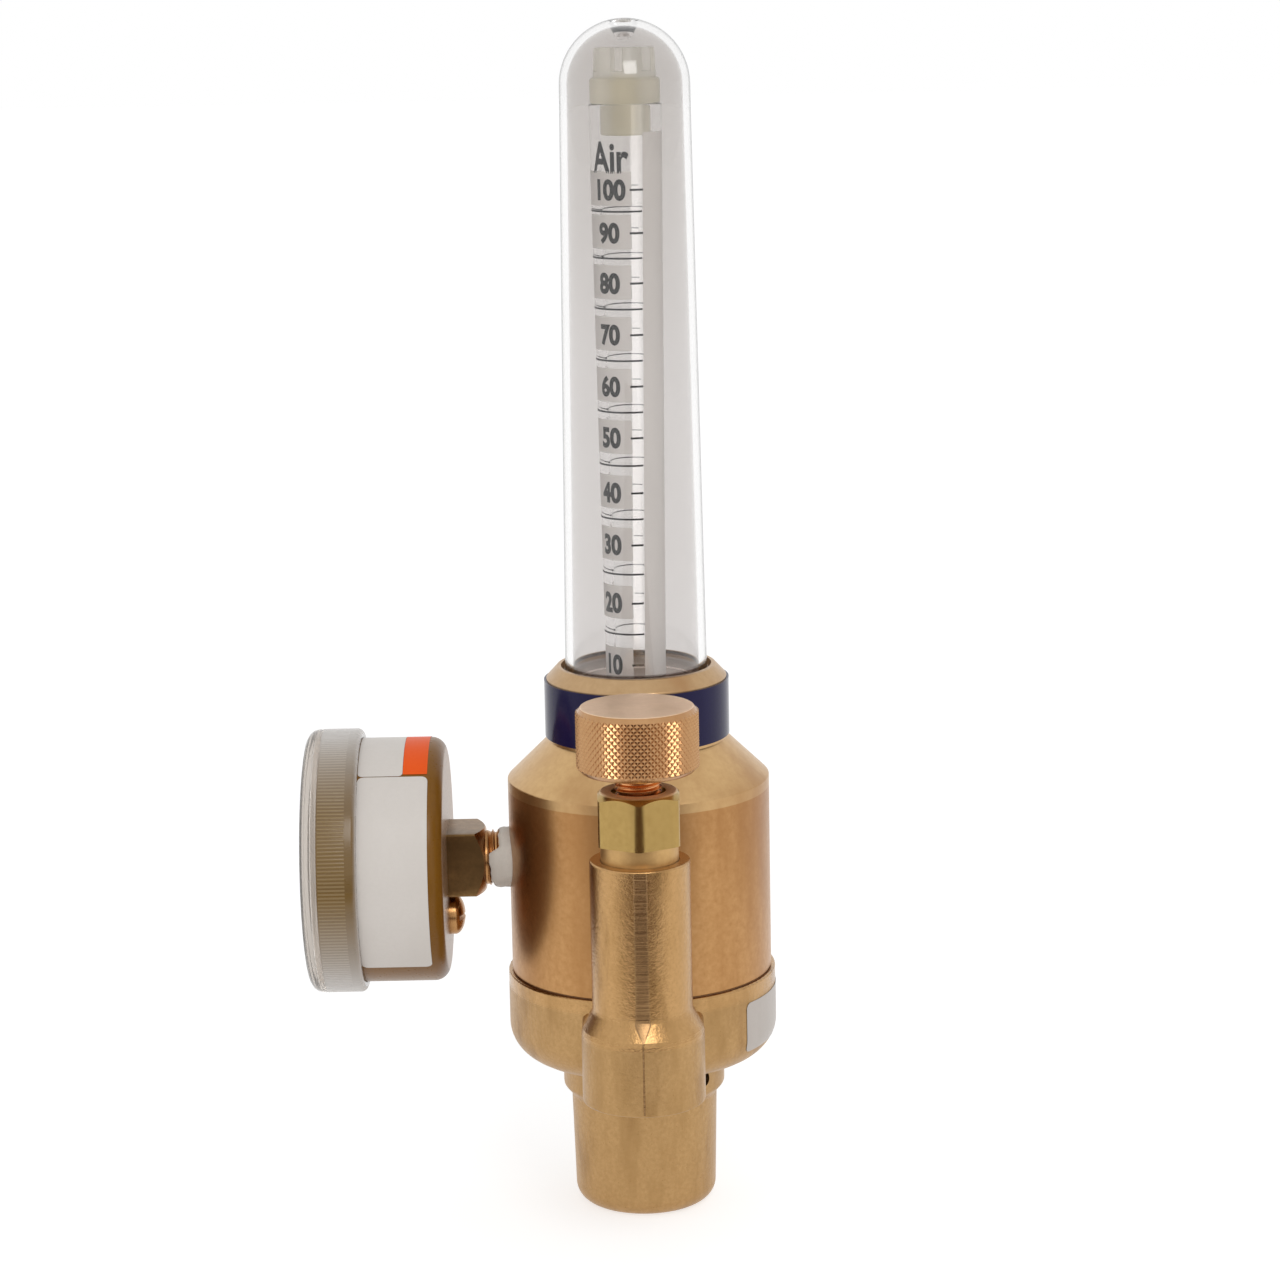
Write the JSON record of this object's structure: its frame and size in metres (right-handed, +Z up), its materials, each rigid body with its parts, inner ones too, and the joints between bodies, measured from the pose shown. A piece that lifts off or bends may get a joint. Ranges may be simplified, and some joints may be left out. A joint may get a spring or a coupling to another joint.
{
  "type": "gas flow meter regulator",
  "caption": "Brass piston gas regulator with a clear tapered flow tube under a domed cover, a knurled needle valve in front and a small pressure gauge on its side.",
  "frame": {"origin": "centre of the flat foot of the stem", "axes": "+Z up along the body and the flow tube, -Y towards the needle valve, -X towards the gauge, +Y out of the inlet port"},
  "size_m": [0.0816, 0.066, 0.2084],
  "materials": {
    "forged_brass": "forged and tumbled yellow brass",
    "turned_brass": "satin turned brass with a copper tone",
    "copper_brass": "bright copper-toned brass",
    "bright_brass": "polished yellow brass",
    "dark_brass": "darker machined brass",
    "sintered_bronze": "sintered bronze",
    "spring_steel": "bright drawn steel",
    "black_rubber": "matte black rubber",
    "clear_plastic": "clear moulded plastic",
    "milky_plastic": "translucent milky plastic",
    "blue_band": "dark blue printed film",
    "white_tape": "white sealing tape",
    "olive_paint": "olive gold paint on steel",
    "white_paint": "white enamel on aluminium",
    "black_paint": "black enamel on aluminium"
  },
  "bodies": {
    "body": {"lower_body": "forged_brass", "upper_body": "turned_brass", "joint_gasket": "black_rubber", "body_o_ring": "black_rubber", "seat_nozzle": "bright_brass", "main_spring": "spring_steel", "poppet_spring": "spring_steel", "inlet_filter": "sintered_bronze", "tube_cover": "clear_plastic", "cover_o_ring": "black_rubber", "flow_tube": "clear_plastic", "tube_seal": "black_rubber", "float_stop": "bright_brass", "tube_top_cap": "milky_plastic", "neck_band": "blue_band", "packing_washer": "bright_brass", "packing_ring": "white_tape", "packing_nut": "bright_brass", "gauge_socket": "dark_brass", "gauge_case": "olive_paint", "gauge_lens": "clear_plastic", "gauge_dial": "white_paint", "thread_tape": "white_tape", "gauge_screw": "copper_brass", "bourdon_tube": "bright_brass", "movement_back_plate": "bright_brass", "movement_front_plate": "bright_brass", "movement_pillars": "bright_brass"},
    "piston": {"piston": "forged_brass", "piston_o_ring": "black_rubber", "poppet": "bright_brass"},
    "needle": {"needle": "spring_steel"},
    "knob": {"valve_stem": "copper_brass", "valve_knob": "copper_brass"},
    "float": {"float_ball": "spring_steel"},
    "pointer": {"gauge_pointer": "black_paint", "pinion_arbor": "bright_brass"},
    "sector": {"sector_gear": "bright_brass"},
    "link": {"movement_link": "bright_brass"}
  },
  "joints": [
    {"name": "needle_lift", "type": "slide", "parent": "body", "child": "needle", "axis": [0, 0, 1], "range_m": [0, 0.00238]},
    {"name": "knob_turn", "type": "hinge", "parent": "needle", "child": "knob", "pos_m": [0, -0.032, 0.092], "axis": [0, 0, 1], "range_deg": [0, 1080]},
    {"name": "float_rise", "type": "slide", "parent": "body", "child": "float", "axis": [0, 0, 1], "range_m": [0, 0.0965]},
    {"name": "piston_travel", "type": "slide", "parent": "body", "child": "piston", "axis": [0, 0, 1], "range_m": [-0.0012, 0], "stiffness_N_per_m": 2000, "springref_m": 0.008, "deforming": ["main_spring", "poppet_spring"]},
    {"name": "pointer_turn", "type": "hinge", "parent": "body", "child": "pointer", "pos_m": [-0.05, 0, 0.0632], "axis": [1, 0, 0], "range_deg": [0, 270], "stiffness_Nm_per_rad": 0.0001},
    {"name": "sector_swing", "type": "hinge", "parent": "body", "child": "sector", "pos_m": [-0.0466, 0, 0.0536], "axis": [1, 0, 0], "range_deg": [-39, 0]},
    {"name": "link_swing", "type": "hinge", "parent": "sector", "child": "link", "pos_m": [-0.04765, 0.00086, 0.05115], "axis": [1, 0, 0], "range_deg": [0, 39]}
  ],
  "couplings": [
    {"joint": "knob_turn", "follows": "needle_lift", "rad_per_m": 7916},
    {"joint": "sector_swing", "follows": "pointer_turn", "ratio": -0.14286},
    {"joint": "link_swing", "follows": "pointer_turn", "ratio": 0.14286}
  ]
}
